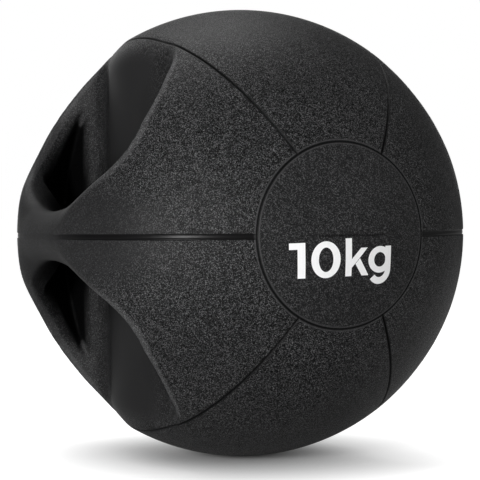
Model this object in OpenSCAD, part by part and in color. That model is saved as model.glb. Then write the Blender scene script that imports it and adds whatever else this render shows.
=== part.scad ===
// Rubber medicine ball with a hand grip moulded into each side.
// The origin is the centre of the ball, +Z is up and the round front panel faces -Y.

/* [Ball] */
// Diameter of the ball
ball_d = 280; // [270:1:290]
// Thickness of the rubber cover
cover_t = 7; // [6:0.5:8]

/* [Grips] */
// Diameter of each grip at its waist
grip_d = 30; // [28:0.5:32]
// How far the grip's round section reaches past the ball, where the ball's surface trims it
grip_trim = 2.5; // [2:0.5:4]
// Length of the opening above and below the grip, front to back
opening_len = 145; // [142:1:148]
// Height from the grip's waist to the widest part of the opening
opening_h = 50; // [48:0.5:52]
// Length of the rubber rod inside the grip
grip_core_len = 112; // [106:1:114]

/* [Pockets] */
// Distance from the ball's centre to the core wall behind the grip
core_wall_x = 80.5; // [79:0.5:82]
// Radius of the core wall, seen from above
core_wall_r = 101; // [98:1:104]
// Angle of the pocket's end walls to the left-right line
end_wall_angle = 36; // [35:0.5:37]
// Distance behind the ball's centre where the two end walls would meet
end_wall_apex = 9.5; // [8.5:0.5:10.5]
// Radius of the corner between core wall and end wall
pocket_corner_r = 14; // [12:0.5:16]
// Distance from the ball's centre plane to the edge where an end wall drops into its recesses
recess_x = 79; // [78:0.5:80]
// Angle from the left-right line to the front face of the recesses
recess_angle = 31; // [30:0.5:32]
// Thickness of the ball's wall outside the recesses
recess_wall = 11.7; // [11:0.1:12.5]
// Height of the grip's root, between the upper and the lower recess
grip_root_h = 34; // [30:1:38]

/* [Panels] */
// Angle from the parting plane to the other two panel grooves
panel_angle = 59.5; // [58:0.5:62]
// Radius of the half-round panel grooves
groove_r = 1.5; // [1:0.1:2]
// Diameter of the round front and rear panels
disc_d = 107.5; // [102:0.5:112]
// Width of the shallow groove along the parting line
parting_w = 3.8; // [3:0.1:5]
// Depth of the shallow groove along the parting line
parting_depth = 0.9; // [0.5:0.1:1.2]

/* [Bladder] */
// Diameter of the air bladder
bladder_d = 192; // [180:1:200]
// Thickness of the air bladder across its flat sides
bladder_w = 60; // [54:1:66]
// Wall of the bladder
bladder_t = 2.5; // [2:0.5:4]

/* [Valve] */
// Height of the valve above the parting plane, as an angle at the ball's centre
valve_angle = 11; // [10:0.5:14]
// Diameter of the valve collar
boot_d = 16; // [14:1:20]
// Diameter of the collar's flange on the bladder
flange_d = 34; // [30:1:40]
// Height of the collar's flange
flange_h = 3; // [2:0.5:4]
// Diameter of the valve plug's stem
stem_d = 7; // [6:0.5:8]
// Diameter of the valve plug's head
head_d = 11; // [10:0.5:12]
// Depth of the head's face below the ball's surface
head_recess = 0.6; // [0.3:0.1:1]
// Diameter of the needle mouth
needle_d = 1.8; // [1.4:0.1:2.2]
// Depth of the needle mouth
needle_depth = 8; // [6:1:12]

/* [Hidden] */
$fn = 128;

ball_r = ball_d / 2;
grip_r = grip_d / 2;
grip_x = ball_r - grip_r + grip_trim;
opening_y = opening_len / 2;
opening_rho = grip_r + opening_h;

// Pocket plan: the core wall's centre, and the corner between core wall and end wall.
core_centre_x = core_wall_x - core_wall_r;
apex_to_core = -end_wall_apex - core_centre_x;
end_dir = [cos(end_wall_angle), sin(end_wall_angle)];
end_normal = [-sin(end_wall_angle), cos(end_wall_angle)];

// Cutting shapes reach this far from the centre, well past the ball.
cut_reach = ball_r + 20;
disc_y = sqrt(ball_r * ball_r - disc_d * disc_d / 4);
parting_r = (parting_w * parting_w / 4 + parting_depth * parting_depth) / (2 * parting_depth);
// A cylinder of this radius takes the whole section of the grip, out to where the core is cut off.
core_pick_r = 35;
// The open part is this much narrower than the oval that it joins, so the two cross cleanly.
oval_join = 0.995;
// The corner arc runs this far past the walls that it joins.
corner_overlap = 0.02;
head_base_r = ball_r - cover_t;
// The stem stops this far short of the bladder, and the needle comes out there.
stem_gap = 8;
stem_base_r = bladder_d / 2 + stem_gap;

rubber = [0.1, 0.1, 0.1];
filled_rubber = [0.22, 0.21, 0.2];
grip_rubber = [0.16, 0.16, 0.17];
butyl = [0.3, 0.3, 0.32];

// Points on an end wall, measured along it from the apex, for a pocket grown by grow.
function wall_start(grow) = [-end_wall_apex, 0] + grow * end_normal;

function along_wall(offset, radius) =
    let (across = -apex_to_core * sin(end_wall_angle) + offset)
    sqrt(radius * radius - across * across) - apex_to_core * cos(end_wall_angle);

// Pocket seen from above, on the +X side: a wedge outside the core wall with rounded corners.
module pocket_plan(grow) {
    core_r = core_wall_r - grow;
    corner_r = pocket_corner_r + grow;
    start = wall_start(grow);
    foot = start + along_wall(grow - corner_r, core_r + corner_r) * end_dir;
    centre = foot - corner_r * end_normal;
    far = start + 2 * cut_reach * end_dir;
    behind = [core_centre_x, far[1]];
    difference() {
        polygon([[start[0] - start[1] / tan(end_wall_angle), 0], far, [far[0], -far[1]]]);
        translate([core_centre_x, 0]) circle(core_r);
        for (side = [1, -1]) {
            notch = [centre, foot + corner_r * end_normal, behind, [core_centre_x, 0]];
            polygon([for (p = notch) [p[0], side * p[1]]]);
        }
    }
    for (side = [1, -1]) translate([centre[0], side * centre[1]]) circle(corner_r + corner_overlap);
}

// Half section of the space around the grip: distance from the grip's axis against front-to-back.
// The lower half of the oval shapes the hourglass grip and the straight part above it is open.
module grip_ring_section(grow) {
    half = opening_y + grow;
    open_half = half * oval_join;
    translate([opening_rho, 0]) scale([(opening_h + grow) / half, 1]) circle(half);
    translate([opening_rho, -open_half]) square([2 * ball_r, 2 * open_half]);
}

// Recesses behind the grip's flare, above and below its root at both ends.
module end_recesses(grow) {
    base = grip_root_h / 2 - grow;
    near_x = recess_x - grow;
    drop = grow / cos(recess_angle);
    front_y = [for (x = [near_x, cut_reach]) x * tan(recess_angle) - drop];
    plan = [[near_x, front_y[0]], [cut_reach, front_y[1]], [cut_reach, cut_reach], [near_x, cut_reach]];
    intersection() {
        sphere(ball_r - recess_wall + grow);
        for (side = [1, -1], bottom = [base, -base - cut_reach])
            translate([0, 0, bottom])
            linear_extrude(cut_reach)
            polygon([for (p = plan) [p[0], side * p[1]]]);
    }
}

// Space cut out of one side: the pocket's upright walls, less the hourglass grip across it.
module grip_pocket(grow) {
    intersection() {
        linear_extrude(2 * cut_reach, center = true) pocket_plan(grow);
        translate([grip_x, 0, 0]) rotate([90, 0, 0]) rotate_extrude() grip_ring_section(grow);
    }
    end_recesses(grow);
}

// Ball with both grip pockets, with every outer face moved in by inset.
module ball_body(inset) {
    difference() {
        sphere(ball_r - inset);
        grip_pocket(inset);
        mirror([1, 0, 0]) grip_pocket(inset);
    }
}

module torus(major, minor) {
    rotate_extrude() translate([major, 0]) circle(minor, $fn = 32);
}

// Grooves between the panels: two tilted rings, the parting ring, and a rim round each disc.
module panel_grooves() {
    difference() {
        union() {
            for (tilt = [panel_angle, -panel_angle]) rotate([0, tilt, 0]) torus(ball_r, groove_r);
            torus(ball_r - parting_depth + parting_r, parting_r);
        }
        rotate([90, 0, 0]) cylinder(d = disc_d, h = 2 * cut_reach, center = true);
    }
    for (side = [1, -1]) translate([0, side * disc_y, 0]) rotate([90, 0, 0]) torus(disc_d / 2, groove_r);
}

module half_space(side) {
    size = 3 * ball_r;
    translate([-size / 2, -size / 2, side > 0 ? 0 : -size]) cube(size);
}

// Turns the Z axis to the line of the valve, up from the rear of the ball.
module at_valve() {
    rotate([valve_angle - 90, 0, 0]) children();
}

// Stretch of the grip that holds its core.
module grip_core_space(side) {
    translate([side * grip_x, 0, 0])
        rotate([90, 0, 0])
        cylinder(r = core_pick_r, h = grip_core_len, center = true);
}

// Flat round bladder, with its round rim in the plane between the two grips.
module bladder_form(inset) {
    rim = bladder_w / 2 - inset;
    flat_r = bladder_d / 2 - bladder_w / 2;
    rotate([0, 90, 0]) rotate_extrude() {
        translate([0, -rim]) square([flat_r, 2 * rim]);
        translate([flat_r, 0]) intersection() {
            circle(rim);
            translate([-flat_r, -rim]) square([flat_r + rim, 2 * rim]);
        }
    }
}

// Outside of the valve collar, from inside the bladder to the back of the cover.
module boot_form() {
    intersection() {
        at_valve() {
            cylinder(d = boot_d, h = ball_r);
            cylinder(d = flange_d, h = bladder_d / 2 + flange_h);
        }
        sphere(ball_r - cover_t);
    }
}

module cover_half(side) {
    color(rubber) difference() {
        intersection() {
            ball_body(0);
            half_space(side);
        }
        ball_body(cover_t);
        panel_grooves();
        if (side > 0) at_valve() cylinder(d = head_d, h = cut_reach);
    }
}

module upper_cover() {
    cover_half(1);
}

module lower_cover() {
    cover_half(-1);
}

module grip_core(side) {
    color(grip_rubber) intersection() {
        ball_body(cover_t);
        grip_core_space(side);
    }
}

module left_grip_core() {
    grip_core(-1);
}

module right_grip_core() {
    grip_core(1);
}

module ballast_half(side) {
    color(filled_rubber) difference() {
        intersection() {
            ball_body(cover_t);
            half_space(side);
        }
        grip_core_space(1);
        grip_core_space(-1);
        bladder_form(0);
        boot_form();
    }
}

module upper_ballast() {
    ballast_half(1);
}

module lower_ballast() {
    ballast_half(-1);
}

module bladder() {
    color(butyl) difference() {
        bladder_form(0);
        bladder_form(bladder_t);
        at_valve() cylinder(d = stem_d, h = ball_r);
    }
}

module valve_boot() {
    color(butyl) difference() {
        boot_form();
        bladder_form(0);
        at_valve() cylinder(d = stem_d, h = ball_r);
    }
}

module valve_core() {
    face_r = ball_r - head_recess;
    mouth_r = face_r - needle_depth;
    half_section = [
        [0, stem_base_r], [stem_d / 2, stem_base_r], [stem_d / 2, head_base_r], [head_d / 2, head_base_r],
        [head_d / 2, ball_r], [needle_d / 2, ball_r], [needle_d / 2, mouth_r], [0, mouth_r]
    ];
    color(rubber) intersection() {
        at_valve() rotate_extrude() polygon(half_section);
        sphere(face_r);
    }
}

upper_cover();
lower_cover();
left_grip_core();
right_grip_core();
upper_ballast();
lower_ballast();
bladder();
valve_boot();
valve_core();
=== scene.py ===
"""Rubber medicine ball with two moulded grips: its covers, weight mark, materials, studio and camera."""

import math

import bmesh
import bpy
import numpy as np
from mathutils import Matrix, Vector
from mathutils.geometry import delaunay_2d_cdt


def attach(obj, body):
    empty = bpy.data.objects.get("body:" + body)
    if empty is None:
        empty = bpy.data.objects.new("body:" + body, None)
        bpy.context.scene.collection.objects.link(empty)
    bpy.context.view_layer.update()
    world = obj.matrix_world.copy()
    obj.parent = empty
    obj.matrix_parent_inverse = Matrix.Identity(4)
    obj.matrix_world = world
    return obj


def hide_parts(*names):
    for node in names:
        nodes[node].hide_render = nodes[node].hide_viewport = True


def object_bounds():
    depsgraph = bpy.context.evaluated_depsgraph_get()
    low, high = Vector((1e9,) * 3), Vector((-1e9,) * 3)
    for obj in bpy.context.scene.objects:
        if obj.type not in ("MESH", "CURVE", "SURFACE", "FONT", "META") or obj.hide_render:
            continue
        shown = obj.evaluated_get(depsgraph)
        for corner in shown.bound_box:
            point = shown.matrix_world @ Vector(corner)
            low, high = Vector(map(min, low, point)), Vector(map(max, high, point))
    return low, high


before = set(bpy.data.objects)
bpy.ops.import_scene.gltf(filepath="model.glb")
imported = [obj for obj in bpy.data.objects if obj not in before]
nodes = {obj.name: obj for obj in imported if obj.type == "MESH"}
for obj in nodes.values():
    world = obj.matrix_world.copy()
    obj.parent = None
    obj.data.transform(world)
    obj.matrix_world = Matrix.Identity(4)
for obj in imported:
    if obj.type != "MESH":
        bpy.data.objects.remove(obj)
CAD_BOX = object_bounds()

MM = 0.001
BALL_R = (CAD_BOX[1].y - CAD_BOX[0].y) / 2
COVER_T = 7 * MM

# Grip across each pocket: a round waist that flares along an oval
GRIP_X = 127.5 * MM
OPENING_Y = 72.5 * MM
OPENING_H = 50 * MM
OPENING_RHO = 65 * MM

# Pocket walls, seen from above
CORE_WALL_X = 80.5 * MM
CORE_WALL_R = 101 * MM
END_WALL_ANGLE = math.radians(36)
END_WALL_APEX = 9.5 * MM
CORNER_R = 14 * MM

# Recesses behind the grip's flare, above and below its root
RECESS_X = 79 * MM
RECESS_ANGLE = math.radians(31)
RECESS_WALL = 11.7 * MM
GRIP_ROOT_H = 34 * MM

# Rounding of the moulded edges: more at the core wall's top and where the grip flares
RIM_R = 2 * MM
CORE_EDGE_R = 12 * MM
CORE_EDGE_END = (25 * MM, 60 * MM)
FLARE_EXTRA = 3 * MM
FLARE_END = (25 * MM, 75 * MM)
POCKET_R = 4 * MM
RECESS_EDGE_R = 5 * MM
RECESS_FLOOR_R = 4 * MM

# Panel grooves, and the groove with raised lips round the front and rear panels
PANEL_ANGLE = math.radians(59.5)
DISC_ANGLE = math.asin(107.5 * MM / 2 / BALL_R)
GROOVE_HALF_W = 1.0 * MM
GROOVE_DEPTH = 0.9 * MM
RIM_HALF_W = 0.8 * MM
RIM_DEPTH = 0.6 * MM
LIP_AT = 1.15 * MM
LIP_HALF_W = 0.75 * MM
LIP_RAISE = 0.22 * MM

# Band along the parting line, with a fine line at its edges; it is faint at the grip's waist
BAND_HALF_W = 1.7 * MM
BAND_DEPTH = 0.45 * MM
BAND_EDGE = 0.5 * MM
BAND_FADE = (20 * MM, 60 * MM)
BAND_LEAST = 0.2
LINE_HALF_W = 0.5 * MM
UPPER_LINE_DEPTH = 0.3 * MM
LOWER_LINE_DEPTH = 0.4 * MM

# Fine seam across the middle of the round panels
SEAM_HALF_W = 0.4 * MM
SEAM_DEPTH = 0.4 * MM
SEAM_END = (15 * MM, 30 * MM)

# Valve hole on the rear panel
VALVE_ANGLE = math.radians(11)
HOLE_R = 5.5 * MM
HOLE_LIP = 1.2 * MM
HOLE_SIDES = 64
LIP_STEPS = 5
NO_HOLE = np.zeros((0, 3))

# Weight mark on the front panel: strokes in mm from the start of its base line
MARK_TURN = math.radians(-15.02)
MARK_BASE = math.radians(-9.9)
MARK_TILT = math.radians(1.5)
DIGIT_H = 20.2
ONE_FLAG = (0.0, 3.7)
ONE_STEM = (4.9, 9.5)
ZERO_MIDDLE = (22.0, 10.1)
ZERO_OUTER = (9.0, 10.5)
ZERO_INNER = (4.5, 7.0)
K_STEM = (34.3, 38.3, 21.7)
K_ARM = ((38.2, 4.6), (48.9, 16.0), (44.5, 16.0), (38.2, 9.6))
K_LEG = ((40.8, 6.9), (45.2, 0.0), (49.9, 0.0), (43.7, 10.0))
G_BOWL = (57.8, 8.7)
G_OUTER = (8.2, 7.7)
G_INNER = (4.2, 4.2)
G_STEM = (61.8, 66.0, 16.3)
G_HOOK = (57.8, 2.6)
G_HOOK_END = -142
MARK_SIDES = 48
MARK_RAISE = 0.12 * MM
MARK_ROOT = 0.4 * MM
MARK_CELL = 2.0
MARK_CUTS = range(-10, 40)

# Mesh grids: angle in degrees against step in degrees, and the step in depth
OUTER_AROUND = [(0, 0.16), (1.1, 0.16), (3, 0.72), (40, 0.78), (57, 0.8),
                (58.6, 0.2), (60.4, 0.2), (62, 1), (90, 1.1)]
OUTER_ALONG = [(19.5, 0.5), (21.8, 0.18), (23.4, 0.18), (25, 1), (46, 1.1), (54, 0.73), (90, 0.73)]
OUTER_STEP = 1.5 * MM
INNER_AROUND = [(0, 2.4), (90, 2.4)]
INNER_ALONG = [(19.5, 2.4), (90, 2.4)]
INNER_STEP = 4 * MM
GRADE_SAMPLES = 4001
DEEPEST = 66 * MM
PARALLEL = math.radians(1.2)

# Mesh of the round panels: spacing of points, shares of it left free at the rim and round the hole,
# and the place of an extra row of points as a share of the seam's half width
CAP_STEP = 1.8 * MM
INNER_CAP_STEP = 2 * CAP_STEP
ROW_MARGIN = 0.6
POINT_MARGIN = 0.5
SEAM_ROW = 0.4

# Settling of points on the skin, a value too small to matter, and the distance within which points join
SETTLE_ROUNDS = 5
SLOPE_STEP = 0.02 * MM
TINY = 1e-9
WELD = 1e-7

# Finish of the skin, kept on the mesh: how open, grained, banded and sharp-edged it is; openness sets
# painted shade and sharpness a painted highlight in the cover's colour
FINISHES = ("open", "grain", "band", "edge")
OPEN_REACH = (5 * MM, 12 * MM, 25 * MM, 45 * MM)
# How much painted shade the grooves get
GROOVE_SHADE = 0.45
POCKET_SMOOTH = (0.7, 0.97)
GRIP_SMOOTH = (14 * MM, 42 * MM)
GRIP_GRAIN = 0.4
END_GRAIN = 0.7
END_GRAIN_FROM = (25 * MM, 45 * MM)
DISC_GRAIN = 0.75
LIP_GLOSS = 0.6
# Painted highlight on the rim's lips, and the reach and fullness of the painted highlight along sharp
# edges
LIP_HIGHLIGHT = 1.0
EDGE_REACH = 4 * MM
EDGE_FULL = 0.25

# Cover rubber: pebble grain, tones with painted shade, painted edge highlights and painted glint specks,
# and gloss
PEBBLE = 0.4 * MM
PEBBLE_DEPTH = 0.12 * MM
# Painted glint specks: the higher the power, the fewer and brighter they are
PEBBLE_POWER = 5
PEBBLE_RISE = 0.4
# Colour in full painted shade, and the grey where the skin lies open
COVER_BLACK = (0.0015, 0.0015, 0.0016, 1)
COVER_GREY = (0.0235, 0.0235, 0.024, 1)
COVER_CLOUDS = {"Scale": 24.0, "Detail": 5.0}
COVER_PATCHY = (0.7, 1.3)
# Openness at and below which the painted shade is full
PAINTED_SHADE_FROM = 0.55
BAND_TONE = 0.35
SMOOTH_TONE = 0.55
# Strength of the painted edge highlight
EDGE_HIGHLIGHT_TONE = 1.5
SMOOTH_ROUGH = 0.5
GRAIN_ROUGH = 0.19
BAND_POLISH = 0.25
CLOUD_ROUGH = 0.08
PEBBLE_ROUGH = 0.25
COVER_SPECULAR = 0.11

# Rubber of the inner pieces
RUBBER_CLOUDS = {"Scale": 28.0, "Detail": 4.0}
RUBBER_PATCHY = 0.2
RUBBER_UNEVEN = 0.06
RUBBER_FINE = 1.6
FINE_DETAIL = 2.0
RUBBER_SPECULAR = 0.3

# White print
PRINT_GRAIN = {"Scale": 900.0, "Detail": 2.0}
PRINT_TONE = (0.8, 0.9)
PRINT_BUMP = 0.05 * MM
PRINT_ROUGH = 0.5
PRINT_SPECULAR = 0.5

# Camera, fitted to the ball's outline and panel lines in the photograph of 480 by 480 pixels
PHOTO_SIZE = 480
BALL_PX = (240.18, 232.94)
BALL_R_PX = 223.1
CAMERA_YAW = math.radians(-26.48)
CAMERA_RISE = math.radians(0.91)
CAMERA_ROLL = math.radians(-0.46)
CAMERA_DISTANCE = 8.8 * BALL_R
SENSOR = 36

# Floor and room: the room is brightest on the front right
FLOOR_HALF = 20
FLOOR_GREY = (0.6, 0.6, 0.6, 1)
FLOOR_GLOW = 0.86
CONTACT_REACH = 0.06
BEHIND = (0.95, 0.98)
FILL_RIGHT = 0.8
FILL_BACK = 0.6
FILL_FROM = 0.2
ROOM_LEVEL = (0.13, 0.8)

# Lamps: angle from the camera, distance and height of the first two, and the third's steps to the right,
# towards the camera and up
KEY_AT = (math.radians(-27), 1.6, 0.12)
KEY_SIZE = (0.22, 0.52)
KEY_WATTS = 24
EDGE_AT = (math.radians(-150), 1.5, 0.3)
EDGE_SIZE = (0.6, 1.2)
EDGE_WATTS = 1.8
TOP_AT = (-0.3, -0.6, 1.3)
TOP_SIZE = (1.2, 1.0)
TOP_WATTS = 8.5


# Shape of the ball's skin

def ramp(value, start, end):
    """0 before start, 1 after end, with a smooth climb between them."""
    t = np.clip((value - start) / (end - start), 0, 1)
    return t * t * (3 - 2 * t)


def round_max(a, b, radius):
    """Larger of two distances, with the edge where they meet rounded."""
    over_a = np.maximum(a + radius, 0)
    over_b = np.maximum(b + radius, 0)
    return np.minimum(np.maximum(a, b), -radius) + np.hypot(over_a, over_b)


def groove(distance, half_width, depth):
    """Depth of a soft-edged groove at a distance from its middle."""
    return depth * (1 - ramp(np.abs(distance), 0, half_width))


def past_rim(x, y, z):
    """Distance along the ball from the rim of a round panel, above zero outside it."""
    return BALL_R * (np.arctan2(np.hypot(x, z), y) - DISC_ANGLE)


def rim_lip(past, height):
    """Height of the raised lips on both sides of the rim groove."""
    return groove(np.abs(past) - LIP_AT, LIP_HALF_W, height)


def on_band(z):
    """1 on the parting band, 0 off it, with a soft edge."""
    return 1 - ramp(z, BAND_HALF_W - BAND_EDGE, BAND_HALF_W)


def band_shown(y, past):
    """How much of the parting band shows: nothing inside the round panels, little at the grip's waist."""
    return ramp(past, 0, RIM_HALF_W) * (BAND_LEAST + (1 - BAND_LEAST) * ramp(y, *BAND_FADE))


def line_depth(x, y, z, edge_line):
    """How far the moulded lines lie below the ball's surface; below zero on the rim's raised lips."""
    past = past_rim(x, y, z)
    across = z * math.cos(PANEL_ANGLE) - x * math.sin(PANEL_ANGLE)
    panel = groove(across, GROOVE_HALF_W, GROOVE_DEPTH) * ramp(past, 0, RIM_HALF_W)
    rim = groove(past, RIM_HALF_W, RIM_DEPTH)
    shown = band_shown(y, past)
    band = BAND_DEPTH * on_band(z) * shown
    line = groove(z - BAND_HALF_W + BAND_EDGE, LINE_HALF_W, edge_line) * shown
    seam = groove(z, SEAM_HALF_W, SEAM_DEPTH) * (1 - ramp(x, *SEAM_END))
    deepest = np.maximum(np.maximum(panel, rim), np.maximum(band + line, seam))
    return deepest - rim_lip(past, LIP_RAISE)


def pocket_distance(x, y, z, grow):
    """Distance to the free space round the grip at +X, below zero inside it."""
    half_h = OPENING_H + grow
    half_y = OPENING_Y + grow
    height = np.maximum(OPENING_RHO - np.hypot(x - GRIP_X, z), 0) / half_h
    length = y / half_y
    oval = np.hypot(height, length) + TINY
    slope = np.hypot(height / half_h, length / half_y) / oval + TINY
    ring = (oval - 1) / slope
    end = y * math.cos(END_WALL_ANGLE) - (x + END_WALL_APEX) * math.sin(END_WALL_ANGLE) - grow
    core = CORE_WALL_R - grow - np.hypot(x - CORE_WALL_X + CORE_WALL_R, y)
    plan = round_max(end, core, CORNER_R + grow)
    pocket = round_max(plan, ring, POCKET_R + grow)
    front = x * math.sin(RECESS_ANGLE) - y * math.cos(RECESS_ANGLE)
    ends = round_max(RECESS_X - x - grow, front - grow, RECESS_FLOOR_R)
    wall = np.sqrt(x * x + y * y + z * z) - BALL_R + RECESS_WALL - grow
    above_root = GRIP_ROOT_H / 2 - grow - z
    recess = round_max(round_max(ends, wall, RECESS_FLOOR_R), above_root, RECESS_FLOOR_R)
    return -round_max(-pocket, -recess, RECESS_EDGE_R)


def skin_distance(points, inset, edge_line=0.0):
    """Distance outwards from the skin, moved in by inset, at points in the last axis of an array."""
    x, y, z = np.moveaxis(np.abs(points), -1, 0)
    sphere = np.sqrt(x * x + y * y + z * z) - BALL_R + inset
    if not inset:
        sphere = sphere + line_depth(x, y, z, edge_line)
    edge_r = CORE_EDGE_R + (RIM_R - CORE_EDGE_R) * ramp(y, *CORE_EDGE_END)
    edge_r = edge_r + FLARE_EXTRA * (1 - ramp(z, *FLARE_END))
    return round_max(sphere, -pocket_distance(x, y, z, inset), edge_r)


def skin_slope(points, inset, edge_line):
    """Direction square to the skin at each point, as the slope of the distance."""
    slope = np.empty_like(points)
    for axis in range(3):
        shift = np.zeros(3)
        shift[axis] = SLOPE_STEP
        ahead = skin_distance(points + shift, inset, edge_line)
        behind = skin_distance(points - shift, inset, edge_line)
        slope[:, axis] = (ahead - behind) / (2 * SLOPE_STEP)
    return slope


def skin_normal(points, inset):
    """Outward direction of length 1 at each point; a tiny inset leaves out the moulded lines."""
    slope = skin_slope(points, inset, 0)
    return slope / (np.linalg.norm(slope, axis=1) + TINY)[:, None]


def settle(points, inset, edge_line):
    """Moves points onto the skin, square to it."""
    for _ in range(SETTLE_ROUNDS):
        slope = skin_slope(points, inset, edge_line)
        value = skin_distance(points, inset, edge_line)
        points = points - (value / (np.sum(slope * slope, axis=1) + TINY))[:, None] * slope
    return points


def skin_finish(points):
    """Values of the finishes at each point, in the order of their names; openness and sharpness set
    painted shade and painted highlights in the cover's colour.
    """
    normal = skin_normal(points, 0)
    free = [np.clip(skin_distance(points + normal * reach, 0) / reach, 0, 1) for reach in OPEN_REACH]
    x, y, z = np.abs(points).T
    past = past_rim(x, y, z)
    lip = rim_lip(past, 1)
    band = np.maximum(on_band(z) * band_shown(y, past), LIP_GLOSS * lip)
    panel = ramp(np.sum(normal * points, axis=1) / BALL_R, *POCKET_SMOOTH)
    pocket = END_GRAIN * ramp(y, *END_GRAIN_FROM)
    by_grip = 1 - ramp(np.hypot(x - GRIP_X, z), *GRIP_SMOOTH)
    grain = (pocket + (1 - pocket) * panel) * (1 - (1 - GRIP_GRAIN) * by_grip) * (1 - band)
    grain = grain * (DISC_GRAIN + (1 - DISC_GRAIN) * ramp(past, 0, RIM_HALF_W))
    # Painted shade: how open the skin is to light, less in the grooves
    open_to_light = np.mean(free, axis=0) * (1 - GROOVE_SHADE * line_depth(x, y, z, 0) / GROOVE_DEPTH)
    # Painted highlight: how sharp the convex edges are, or how much of it the rim's lips get
    inwards = skin_normal(points, TINY) * -EDGE_REACH
    sharp = skin_distance(points + inwards, TINY) / EDGE_REACH + 1
    return open_to_light, grain, band, np.maximum(np.clip(sharp / EDGE_FULL, 0, 1), LIP_HIGHLIGHT * lip)


# Mesh of one eighth of the skin, on a grid of depth, angle from the Y axis and angle about it

def graded(stops):
    """Angles from the first stop to the last, with the step that the stops give."""
    places, steps = np.radians(np.array(stops)).T
    fine = np.linspace(places[0], places[-1], GRADE_SAMPLES)
    pace = 1 / np.interp(fine, places, steps)
    count = np.concatenate([[0], np.cumsum((pace[1:] + pace[:-1]) / 2 * np.diff(fine))])
    return np.interp(np.linspace(0, count[-1], round(count[-1]) + 1), count, fine)


def grid_lines(middles):
    """Grid lines half-way between the cells' middles, with one more beyond each end."""
    between = (middles[1:] + middles[:-1]) / 2
    return np.concatenate([[2 * middles[0] - between[0]], between, [2 * middles[-1] - between[-1]]])


def spread(around, along):
    """Angle about the Y axis of a grid line, so that lines beside a groove run parallel to it."""
    wide = PARALLEL / np.sin(along)
    by_band = np.clip(around, -PARALLEL, PARALLEL) / np.sin(along)
    low_part = np.clip(around - PARALLEL, 0, PANEL_ANGLE - 2 * PARALLEL)
    low = low_part * (PANEL_ANGLE - 2 * wide) / (PANEL_ANGLE - 2 * PARALLEL)
    by_panel = np.clip(around - PANEL_ANGLE + PARALLEL, 0, 2 * PARALLEL) / np.sin(along)
    high_part = np.maximum(around - PANEL_ANGLE - PARALLEL, 0)
    high = high_part * (math.pi / 2 - PANEL_ANGLE - wide) / (math.pi / 2 - PANEL_ANGLE - PARALLEL)
    return by_band + low + by_panel + high


def to_space(depth, along, around):
    """Points from grid places: distance from the centre, angle from +Y, grid angle about Y."""
    turn = spread(around, along)
    return np.stack([depth * np.sin(along) * np.cos(turn), depth * np.cos(along) + 0 * turn,
                     depth * np.sin(along) * np.sin(turn)], axis=-1)


def skin_eighth(inset, edge_line, around, along, step):
    """Vertices and quads of the skin where x, y and z are positive, and the vertices round the disc."""
    surface = BALL_R - inset
    rows = int((surface - DEEPEST) / step)
    depths = surface + (np.arange(-rows, 2) + 0.5) * step
    lines = [depths, grid_lines(graded(along)), grid_lines(graded(around))]
    grid = np.meshgrid(*lines, indexing="ij")
    field = skin_distance(to_space(*grid), inset, edge_line)
    cells = np.array(field.shape) - 1
    total = np.zeros((*cells, 3))
    hits = np.zeros(cells)
    crossings = []
    for axis in range(3):
        near = np.moveaxis(field, axis, 0)[:-1]
        far = np.moveaxis(field, axis, 0)[1:]
        crossed = np.moveaxis((near < 0) != (far < 0), 0, axis)
        share = np.moveaxis(near / (near - far + TINY * (near == far)), 0, axis)
        edge = np.argwhere(crossed)
        place = edge.astype(float)
        place[:, axis] += share[crossed]
        side_a, side_b = np.eye(3, dtype=int)[[(axis + 1) % 3, (axis + 2) % 3]]
        ring = [edge, edge - side_a, edge - side_a - side_b, edge - side_b]
        inside = [np.all((cell >= 0) & (cell < cells), axis=1) for cell in ring]
        for cell, known in zip(ring, inside):
            np.add.at(total, tuple(cell[known].T), place[known])
            np.add.at(hits, tuple(cell[known].T), 1)
        whole = np.all(inside, axis=0)
        crossings.append([cell[whole] for cell in ring])
    used = hits > 0
    number = np.full(cells, -1)
    number[used] = np.arange(used.sum())
    place = total[used] / hits[used][:, None]
    spots = [np.interp(place[:, axis], np.arange(len(lines[axis])), lines[axis]) for axis in range(3)]
    points = settle(to_space(*spots), inset, edge_line)
    cell = np.argwhere(used)
    points[cell[:, 2] == 0, 2] = 0
    points[cell[:, 2] == cells[2] - 1, 0] = 0
    points[cell[:, 1] == cells[1] - 1, 1] = 0
    quads = [np.stack([number[tuple(corner.T)] for corner in ring], axis=1) for ring in crossings]
    return points, np.concatenate(quads), points[number[:, 0].max(axis=0)]


# Round panel inside the first ring of the grid

def ring_about(axis, radius, drop):
    """Circle of points about an axis through the centre, a drop below the ball's surface."""
    side = Vector((1, 0, 0))
    up = axis.cross(side)
    height = math.sqrt((BALL_R - drop) ** 2 - radius ** 2)
    turns = [2 * math.pi * k / HOLE_SIDES for k in range(HOLE_SIDES)]
    return np.array([axis * height + radius * (side * math.cos(t) + up * math.sin(t)) for t in turns])


def triangulate(flat, edges, keep):
    """Triangles over flat points that use the edges, where keep is true of a triangle's middle."""
    unit = float(np.abs(flat).max())
    result = delaunay_2d_cdt([Vector(p / unit) for p in flat], edges, [], 0, WELD)
    origin = [source[0] for source in result[3]]
    triangles = np.array([[origin[v] for v in face] for face in result[2]])
    return triangles[keep(flat[triangles].mean(axis=1))]


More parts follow.
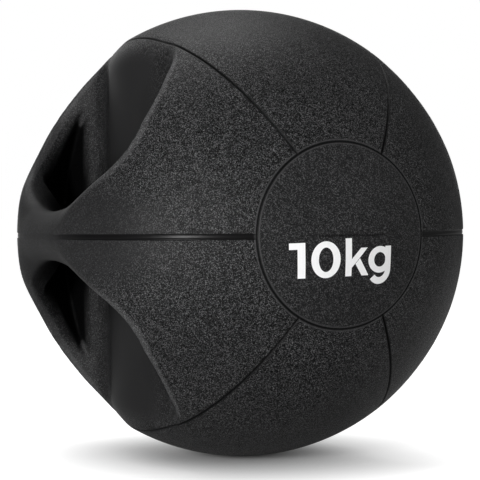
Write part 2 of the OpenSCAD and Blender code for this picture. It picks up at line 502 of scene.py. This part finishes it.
def cap_points(reach, inset, edge_line, hole):
    """Points in rows on the upper half of a round panel, clear of its rim and of the hole ring."""
    step = INNER_CAP_STEP if inset else CAP_STEP
    seam = [0.0] if inset else [0.0, SEAM_ROW * SEAM_HALF_W, SEAM_HALF_W]
    levels = list(np.arange(1, reach / step) * step * math.sqrt(3) / 2)
    rows = []
    for index, level in enumerate(seam + levels):
        width = math.sqrt(max((reach - ROW_MARGIN * step) ** 2 - level ** 2, 0)) if level < reach else 0
        count = int(width / step)
        x = (np.arange(-count, count + 1) + (index % 2) / 2) * step
        x = x[np.hypot(x, level) < reach - POINT_MARGIN * step]
        rows.append(np.stack([x, np.zeros_like(x), np.full_like(x, level)], axis=1))
    points = np.concatenate(rows)
    points[:, 1] = np.sqrt((BALL_R - inset) ** 2 - points[:, 0] ** 2 - points[:, 2] ** 2)
    if len(hole):
        middle = hole.mean(axis=0)
        hole_r = np.linalg.norm(hole[0] - middle)
        points = points[np.linalg.norm(points - middle, axis=1) > hole_r + POINT_MARGIN * step]
    base = points[:, 2] == 0
    points = settle(points, inset, edge_line)
    points[base, 2] = 0
    return points


def disc_cap(eighth_ring, inset, edge_line, hole):
    """Vertices and triangles of the upper half of a round panel at +Y, less the inside of the hole."""
    arc = np.concatenate([eighth_ring, eighth_ring[-2::-1] * (-1, 1, 1)])
    reach = math.hypot(arc[0, 0], arc[0, 2])
    points = np.concatenate([arc, hole, cap_points(reach, inset, edge_line, hole)])
    flat = points[:, [0, 2]]
    first = len(arc)
    edges = [(k, k + 1) for k in range(first - 1)]
    edges += [(first + k, first + (k + 1) % len(hole)) for k in range(len(hole))]

    def keep(middle):
        good = middle[:, 1] > TINY
        if len(hole):
            to_hole = np.linalg.norm(middle - flat[first:first + len(hole)].mean(axis=0), axis=1)
            good &= to_hole > np.linalg.norm(hole[0] - hole.mean(axis=0))
        return good

    return points, triangulate(flat, edges, keep)


def tube(rings):
    """Vertices and quads of the wall through a row of rings."""
    sides = len(rings[0])
    quads = []
    for level in range(len(rings) - 1):
        for k in range(sides):
            low = level * sides
            after = (k + 1) % sides
            quads.append((low + k, low + after, low + sides + after, low + sides + k))
    return np.concatenate(rings), np.array(quads)


def valve_rings():
    """Rings down the wall of the valve hole, from its rounded lip to the inside of the cover."""
    axis = Vector((0, math.cos(VALVE_ANGLE), math.sin(VALVE_ANGLE)))
    rings = []
    for k in range(LIP_STEPS + 1):
        turn = math.pi / 2 * k / LIP_STEPS
        radius = HOLE_R + HOLE_LIP * (1 - math.sin(turn))
        rings.append(ring_about(axis, radius, HOLE_LIP * (1 - math.cos(turn))))
    rings.append(ring_about(axis, HOLE_R, COVER_T))
    return rings


# Covers

def seam_faces(bm):
    """Closes a half cover with the flat face on the parting plane, and keeps its edges crisp."""
    rim = [edge for edge in bm.edges if edge.is_boundary]
    verts = sorted({v for edge in rim for v in edge.verts}, key=lambda v: v.index)
    place = {v: k for k, v in enumerate(verts)}
    flat = np.array([v.co.xy for v in verts])
    edges = [(place[edge.verts[0]], place[edge.verts[1]]) for edge in rim]

    def keep(middle):
        points = np.pad(middle, ((0, 0), (0, 1)))
        return (skin_distance(points, 0) < 0) & (skin_distance(points, COVER_T) > 0)

    for triangle in triangulate(flat, edges, keep):
        bm.faces.new([verts[k] for k in triangle])
    for edge in rim:
        edge.smooth = False


def cover_patches(skins, with_valve):
    """Vertices and polygons of each patch of a half cover's outer and inner skin."""
    patches = []
    rings = valve_rings() if with_valve else []
    for inset, edge_line, (points, quads, ring) in skins:
        for flip_x in (1, -1):
            for flip_y in (1, -1):
                patches.append((points * (flip_x, flip_y, 1), quads))
        cap, triangles = disc_cap(ring, inset, edge_line, NO_HOLE)
        patches.append((cap * (1, -1, 1), triangles))
        hole = NO_HOLE
        if with_valve:
            hole = rings[-1] if inset else rings[0]
        patches.append(disc_cap(ring, inset, edge_line, hole))
    if with_valve:
        patches.append(tube(rings))
    return patches


def half_cover(name, side, skins, with_valve):
    """Closed mesh of the upper cover (side 1) or the lower one (side -1), with its finishes."""
    patches = cover_patches(skins, with_valve)
    faces = []
    start = 0
    for points, polygons in patches:
        faces += (polygons + start).tolist()
        start += len(points)
    verts = np.concatenate([points for points, _ in patches]) * (1, 1, side)
    mesh = bpy.data.meshes.new(name)
    mesh.from_pydata(verts.tolist(), [], faces)
    bm = bmesh.new()
    bm.from_mesh(mesh)
    bmesh.ops.remove_doubles(bm, verts=bm.verts[:], dist=WELD)
    bm.verts.index_update()
    seam_faces(bm)
    bmesh.ops.recalc_face_normals(bm, faces=bm.faces[:])
    for face in bm.faces:
        face.smooth = True
    bm.to_mesh(mesh)
    bm.free()
    places = np.empty(3 * len(mesh.vertices))
    mesh.vertices.foreach_get("co", places)
    for finish, values in zip(FINISHES, skin_finish(places.reshape(-1, 3))):
        layer = mesh.attributes.new(finish, "FLOAT", "POINT")
        layer.data.foreach_set("value", values.astype(np.float32))
    piece = bpy.data.objects.new(name, mesh)
    bpy.context.scene.collection.objects.link(piece)
    return piece


def make_covers():
    """Both cover halves, each in place of its CAD node."""
    inner = (COVER_T, 0.0, skin_eighth(COVER_T, 0.0, INNER_AROUND, INNER_ALONG, INNER_STEP))
    covers = []
    halves = (("upper_cover", 1, UPPER_LINE_DEPTH), ("lower_cover", -1, LOWER_LINE_DEPTH))
    for name, side, edge_line in halves:
        outer = (0, edge_line, skin_eighth(0, edge_line, OUTER_AROUND, OUTER_ALONG, OUTER_STEP))
        piece = half_cover(name + "_skin", side, [outer, inner], side > 0)
        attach(piece, "root")
        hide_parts(name)
        covers.append(piece)
    return covers


# Weight mark

def upright(left, right, bottom, top):
    """Corners of an upright oblong."""
    return ((left, bottom), (right, bottom), (right, top), (left, top))


def oval_band(middle, outer, inner, start, end):
    """Quads between two ovals about one middle, from one angle in degrees to another."""
    turns = np.radians(np.linspace(start, end, MARK_SIDES + 1))
    round_way = np.stack([np.cos(turns), np.sin(turns)], axis=1)
    far = np.array(middle) + np.array(outer) * round_way
    near = np.array(middle) + np.array(inner) * round_way
    return [(far[k], far[k + 1], near[k + 1], near[k]) for k in range(MARK_SIDES)]


def mark_strokes():
    """Quads that make up the figures and letters of the weight mark."""
    quads = [upright(ONE_FLAG[0], ONE_STEM[1], DIGIT_H - ONE_FLAG[1], DIGIT_H)]
    quads += [upright(*ONE_STEM, 0, DIGIT_H)]
    quads += oval_band(ZERO_MIDDLE, ZERO_OUTER, ZERO_INNER, 0, 360)
    quads += [upright(K_STEM[0], K_STEM[1], 0, K_STEM[2]), K_ARM, K_LEG]
    quads += oval_band(G_BOWL, G_OUTER, G_INNER, 0, 360)
    quads += [upright(G_STEM[0], G_STEM[1], G_HOOK[1], G_STEM[2])]
    quads += oval_band(G_HOOK, [G_OUTER[0]] * 2, [G_INNER[0]] * 2, G_HOOK_END, 0)
    return quads


def flat_mark():
    """Points and polygons of the joined strokes, cut into cells small enough to follow the ball."""
    quads = mark_strokes()
    corners = [Vector(corner) for quad in quads for corner in quad]
    loops = [list(range(4 * k, 4 * k + 4)) for k in range(len(quads))]
    places, _, triangles, _, _, sources = delaunay_2d_cdt(corners, [], loops, 0, MM)
    bm = bmesh.new()
    dots = [bm.verts.new((*place, 0)) for place in places]
    for triangle, source in zip(triangles, sources):
        if source:
            bm.faces.new([dots[k] for k in triangle])
    bmesh.ops.delete(bm, geom=[v for v in bm.verts if not v.link_faces], context="VERTS")
    for axis in (Vector((1, 0, 0)), Vector((0, 1, 0))):
        for k in MARK_CUTS:
            everything = bm.verts[:] + bm.edges[:] + bm.faces[:]
            place = axis * k * MARK_CELL
            bmesh.ops.bisect_plane(bm, geom=everything, dist=MM, plane_co=place, plane_no=axis)
    bm.normal_update()
    bm.verts.index_update()
    polygons = [[v.index for v in face.verts][::1 if face.normal.z > 0 else -1] for face in bm.faces]
    points = [v.co.copy() for v in bm.verts]
    bm.free()
    return points, polygons


def on_ball(place, radius):
    """Point of the mark, wrapped onto a sphere about the ball's centre."""
    turn = place.x * math.cos(MARK_TILT) - place.y * math.sin(MARK_TILT)
    rise = place.x * math.sin(MARK_TILT) + place.y * math.cos(MARK_TILT)
    turn = turn * MM / BALL_R + MARK_TURN
    rise = rise * MM / BALL_R + MARK_BASE
    level = radius * math.cos(rise)
    return (level * math.sin(turn), -level * math.cos(turn), radius * math.sin(rise))


def make_mark():
    """Printed weight on the front panel, as a thin closed layer that follows the ball."""
    flat, front = flat_mark()
    count = len(flat)
    directed = {(p[k - 1], p[k]) for p in front for k in range(len(p))}
    rim = [(a, b) for a, b in sorted(directed) if (b, a) not in directed]
    faces = front + [[k + count for k in p[::-1]] for p in front]
    faces += [(b, a, a + count, b + count) for a, b in rim]
    verts = [on_ball(place, BALL_R + MARK_RAISE) for place in flat]
    verts += [on_ball(place, BALL_R - MARK_ROOT) for place in flat]
    mesh = bpy.data.meshes.new("weight_mark")
    mesh.from_pydata(verts, [], faces)
    piece = bpy.data.objects.new("weight_mark", mesh)
    bpy.context.scene.collection.objects.link(piece)
    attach(piece, "root")
    return piece


# Materials

def add_node(tree, kind, inputs=None, **settings):
    """New shader node with its settings, and its inputs set to values or linked to sockets."""
    node = tree.nodes.new("ShaderNode" + kind)
    for key, value in settings.items():
        setattr(node, key, value)
    for key, value in (inputs or {}).items():
        if isinstance(value, bpy.types.NodeSocket):
            tree.links.new(value, node.inputs[key])
        else:
            node.inputs[key].default_value = value
    return node


def maths(tree, operation, *values):
    """Socket with the result of an operation on values or sockets."""
    return add_node(tree, "Math", dict(enumerate(values)), operation=operation).outputs[0]


def mapped(tree, value, low, high, start=0.0, end=1.0):
    """Socket that runs from low to high while a value runs from start to end."""
    inputs = {"Value": value, "From Min": start, "From Max": end, "To Min": low, "To Max": high}
    return add_node(tree, "MapRange", inputs).outputs[0]


def facing(tree, toward, direction):
    """Socket with the dot product of a vector socket and a fixed direction."""
    inputs = {0: toward, 1: tuple(direction)}
    return add_node(tree, "VectorMath", inputs, operation="DOT_PRODUCT").outputs["Value"]


def new_material(name):
    """Empty node material and its tree."""
    material = bpy.data.materials.new(name)
    material.use_nodes = True
    material.node_tree.nodes.clear()
    return material, material.node_tree


def add_surface(tree, colour, bump, roughness, specular):
    """Shader on the material's output."""
    shader = add_node(tree, "BsdfPrincipled", {"Base Color": colour, "Normal": bump.outputs[0],
                                               "Roughness": roughness, "Specular IOR Level": specular})
    add_node(tree, "OutputMaterial", {"Surface": shader.outputs[0]})


def rubber(name, colour, roughness, grain_mm, depth_mm):
    """Moulded rubber: cloudy colour, uneven gloss and a pebble grain."""
    material, tree = new_material(name)
    coords = add_node(tree, "TexCoord").outputs["Object"]
    clouds = add_node(tree, "TexNoise", {"Vector": coords, **RUBBER_CLOUDS}).outputs["Fac"]
    dark = (*[c * (1 - RUBBER_PATCHY) for c in colour], 1)
    light = (*[c * (1 + RUBBER_PATCHY) for c in colour], 1)
    tint = add_node(tree, "Mix", {"Factor": clouds, "A": dark, "B": light}, data_type="RGBA")
    scale = 1 / (grain_mm * MM)
    pebbles = add_node(tree, "TexVoronoi", {"Vector": coords, "Scale": scale}, feature="F1")
    fine = add_node(tree, "TexNoise", {"Vector": coords, "Scale": RUBBER_FINE * scale,
                                       "Detail": FINE_DETAIL})
    height = maths(tree, "SUBTRACT", fine.outputs["Fac"], pebbles.outputs["Distance"])
    bump = add_node(tree, "Bump", {"Height": height, "Distance": depth_mm * MM, "Strength": 1.0})
    gloss = mapped(tree, clouds, roughness - RUBBER_UNEVEN, roughness + RUBBER_UNEVEN)
    add_surface(tree, tint.outputs["Result"], bump, gloss, RUBBER_SPECULAR)
    return material


def cover_skin(name):
    """Cover rubber whose colour holds painted light: painted shade that darkens it from grey where it lies
    open to black in the recesses and grooves, a painted highlight along sharp edges and the rim's lips,
    and bright specks at random pebbles painted in place of glints off the grain.
    """
    material, tree = new_material(name)
    coords = add_node(tree, "TexCoord").outputs["Object"]
    layers = [add_node(tree, "Attribute", attribute_name=finish) for finish in FINISHES]
    open_to_light, grain, band, edge = [layer.outputs["Fac"] for layer in layers]
    clouds = add_node(tree, "TexNoise", {"Vector": coords, **COVER_CLOUDS}).outputs["Fac"]
    pebbles = add_node(tree, "TexVoronoi", {"Vector": coords, "Scale": 1 / PEBBLE}, feature="F1").outputs
    chances = add_node(tree, "SeparateColor", {"Color": pebbles["Color"]}).outputs

    # Painted glints: a few pebbles at random get bright specks in the colour, in place of light glinting
    # off the grain
    few = maths(tree, "POWER", chances["Red"], PEBBLE_POWER)
    glint_speck = maths(tree, "MULTIPLY", few, PEBBLE_POWER + 1)
    glint_speckle = add_node(tree, "Mix", {"Factor": grain, "A": 1.0, "B": glint_speck}).outputs["Result"]
    # Painted shade: darker where the skin is closed in or grooved, down to black in the recesses
    out_of_painted_shade = mapped(tree, open_to_light, 0, 1, start=PAINTED_SHADE_FROM)
    patchy_and_shaded = maths(tree, "MULTIPLY", out_of_painted_shade, mapped(tree, clouds, *COVER_PATCHY))
    grey = maths(tree, "MULTIPLY", patchy_and_shaded, glint_speckle)
    plain = mapped(tree, band, 1, BAND_TONE)
    dull = maths(tree, "MULTIPLY", plain, mapped(tree, grain, SMOOTH_TONE, 1))
    toned = maths(tree, "MULTIPLY", grey, dull)
    # Painted highlight along sharp edges and the rim's lips, kept out of the painted shade
    painted_edge_highlight = maths(tree, "MULTIPLY", edge, out_of_painted_shade)
    shade = maths(tree, "MULTIPLY_ADD", painted_edge_highlight, EDGE_HIGHLIGHT_TONE, toned)
    tint = add_node(tree, "Mix", {"Factor": shade, "A": COVER_BLACK, "B": COVER_GREY},
                    data_type="RGBA", clamp_factor=False)

    dome = maths(tree, "POWER", pebbles["Distance"], 2)
    height = maths(tree, "MULTIPLY_ADD", chances["Red"], PEBBLE_RISE, dome)
    bump = add_node(tree, "Bump", {"Height": height, "Distance": PEBBLE_DEPTH, "Strength": grain},
                    invert=True)

    matt = mapped(tree, grain, SMOOTH_ROUGH, GRAIN_ROUGH)
    satin = maths(tree, "MULTIPLY_ADD", band, -BAND_POLISH, matt)
    cloudy = maths(tree, "MULTIPLY_ADD", clouds, CLOUD_ROUGH, satin)
    by_pebble = maths(tree, "MULTIPLY", chances["Green"], grain)
    gloss = maths(tree, "MULTIPLY_ADD", by_pebble, PEBBLE_ROUGH, cloudy)
    add_surface(tree, tint.outputs["Result"], bump, gloss, COVER_SPECULAR)
    return material


def print_white():
    """White screen print, a little uneven where it lies on the grain."""
    material, tree = new_material("print_white")
    coords = add_node(tree, "TexCoord").outputs["Object"]
    grain = add_node(tree, "TexNoise", {"Vector": coords, **PRINT_GRAIN}).outputs["Fac"]
    bump = add_node(tree, "Bump", {"Height": grain, "Distance": PRINT_BUMP})
    add_surface(tree, mapped(tree, grain, *PRINT_TONE), bump, PRINT_ROUGH, PRINT_SPECULAR)
    return material


def paint(piece, material):
    """Gives a piece one material."""
    piece.data.materials.clear()
    piece.data.materials.append(material)


# Studio

def make_camera():
    """Camera at the photograph's angle and framing; returns the directions to its right and towards it."""
    right = Vector((math.cos(CAMERA_YAW), math.sin(CAMERA_YAW), 0))
    level = math.cos(CAMERA_RISE)
    back = Vector((math.sin(CAMERA_YAW) * level, -math.cos(CAMERA_YAW) * level, math.sin(CAMERA_RISE)))
    up = back.cross(right)
    across = right * math.cos(CAMERA_ROLL) + up * math.sin(CAMERA_ROLL)
    above = up * math.cos(CAMERA_ROLL) - right * math.sin(CAMERA_ROLL)
    data = bpy.data.cameras.new("camera")
    focal_px = BALL_R_PX * math.sqrt((CAMERA_DISTANCE / BALL_R) ** 2 - 1)
    data.sensor_width = SENSOR
    data.lens = focal_px / PHOTO_SIZE * SENSOR
    data.shift_x = (PHOTO_SIZE / 2 - BALL_PX[0]) / PHOTO_SIZE
    data.shift_y = (BALL_PX[1] - PHOTO_SIZE / 2) / PHOTO_SIZE
    camera = bpy.data.objects.new("camera", data)
    camera.matrix_world = Matrix((across, above, back)).transposed().to_4x4()
    camera.location = back * CAMERA_DISTANCE
    bpy.context.scene.collection.objects.link(camera)
    bpy.context.scene.camera = camera
    return right, back


def softbox(name, place, size, watts):
    """Oblong area light that faces the ball."""
    data = bpy.data.lights.new(name, "AREA")
    data.shape = "RECTANGLE"
    data.size = size[0]
    data.size_y = size[1]
    data.energy = watts
    light = bpy.data.objects.new(name, data)
    light.location = place
    light.rotation_euler = (-place).to_track_quat("-Z", "Y").to_euler()
    bpy.context.scene.collection.objects.link(light)


def shows_white(tree, place, back):
    """Socket that is 1 for camera rays, and behind the ball for rays off a mirror or through glass."""
    rays = add_node(tree, "LightPath").outputs
    toward = add_node(tree, "VectorMath", {0: place}, operation="NORMALIZE").outputs["Vector"]
    behind = mapped(tree, facing(tree, toward, -back), 0, 1, *BEHIND)
    passed = maths(tree, "MAXIMUM", rays["Is Glossy Ray"], rays["Is Transmission Ray"])
    return maths(tree, "MAXIMUM", rays["Is Camera Ray"], maths(tree, "MULTIPLY", passed, behind))


def make_floor(back):
    """Pale floor that shows white where it is the background, and keeps the ball's shadow, with a painted
    contact shadow where ambient occlusion dims its glow.
    """
    mesh = bpy.data.meshes.new("floor")
    ways = ((-1, -1), (1, -1), (1, 1), (-1, 1))
    mesh.from_pydata([(x * FLOOR_HALF, y * FLOOR_HALF, -BALL_R) for x, y in ways], [], [(0, 1, 2, 3)])
    floor = bpy.data.objects.new("floor", mesh)
    bpy.context.scene.collection.objects.link(floor)
    material, tree = new_material("floor_white")
    place = add_node(tree, "NewGeometry").outputs["Position"]
    seen = shows_white(tree, place, back)
    # Painted contact shadow: the glow is dimmed by ambient occlusion near the ball
    contact_shadow = add_node(tree, "AmbientOcclusion", {"Distance": CONTACT_REACH})
    bright = maths(tree, "MULTIPLY", contact_shadow.outputs["AO"], FLOOR_GLOW)
    glow = add_node(tree, "Emission", {"Strength": bright})
    matt = add_node(tree, "BsdfDiffuse", {"Color": FLOOR_GREY})
    both = add_node(tree, "AddShader", {0: matt.outputs[0], 1: glow.outputs[0]})
    shown = add_node(tree, "MixShader", {0: seen, 1: matt.outputs[0], 2: both.outputs[0]})
    add_node(tree, "OutputMaterial", {"Surface": shown.outputs[0]})
    paint(floor, material)


def make_world(right, back):
    """Dim room with a broad soft light on the front right and a white backdrop behind the ball."""
    world = bpy.data.worlds.new("studio")
    world.use_nodes = True
    tree = world.node_tree
    tree.nodes.clear()
    toward = add_node(tree, "TexCoord").outputs["Generated"]
    aside = facing(tree, toward, right * FILL_RIGHT + back * FILL_BACK)
    room = mapped(tree, aside, *ROOM_LEVEL, start=FILL_FROM)
    level = maths(tree, "MAXIMUM", room, shows_white(tree, toward, back))
    glow = add_node(tree, "Background", {"Color": (1, 1, 1, 1), "Strength": level})
    add_node(tree, "OutputWorld", {"Surface": glow.outputs[0]})
    bpy.context.scene.world = world


def make_studio():
    """Camera, floor, backdrop and lights."""
    right, back = make_camera()
    make_floor(back)
    make_world(right, back)

    def beside(angle, distance, height):
        return (back * math.cos(angle) + right * math.sin(angle)) * distance + Vector((0, 0, height))

    softbox("key_left", beside(*KEY_AT), KEY_SIZE, KEY_WATTS)
    softbox("edge_left", beside(*EDGE_AT), EDGE_SIZE, EDGE_WATTS)
    above = right * TOP_AT[0] + back * TOP_AT[1] + Vector((0, 0, TOP_AT[2]))
    softbox("top", above, TOP_SIZE, TOP_WATTS)
    bpy.context.scene.view_settings.view_transform = "Standard"


cover_rubber = cover_skin("cover_rubber")
for cover in make_covers():
    paint(cover, cover_rubber)
paint(make_mark(), print_white())

grip_rubber = rubber("grip_rubber", (0.03, 0.03, 0.032), roughness=0.7, grain_mm=2.5, depth_mm=0.1)
filled_rubber = rubber("filled_rubber", (0.06, 0.058, 0.055), roughness=0.8, grain_mm=1.8, depth_mm=0.3)
butyl_rubber = rubber("butyl_rubber", (0.04, 0.04, 0.045), roughness=0.5, grain_mm=4.0, depth_mm=0.05)
valve_rubber = rubber("valve_rubber", (0.018, 0.018, 0.018), roughness=0.4, grain_mm=3.0, depth_mm=0.03)
for node, material in (("left_grip_core", grip_rubber), ("right_grip_core", grip_rubber),
                       ("upper_ballast", filled_rubber), ("lower_ballast", filled_rubber),
                       ("bladder", butyl_rubber), ("valve_boot", butyl_rubber),
                       ("valve_core", valve_rubber)):
    paint(nodes[node], material)

make_studio()
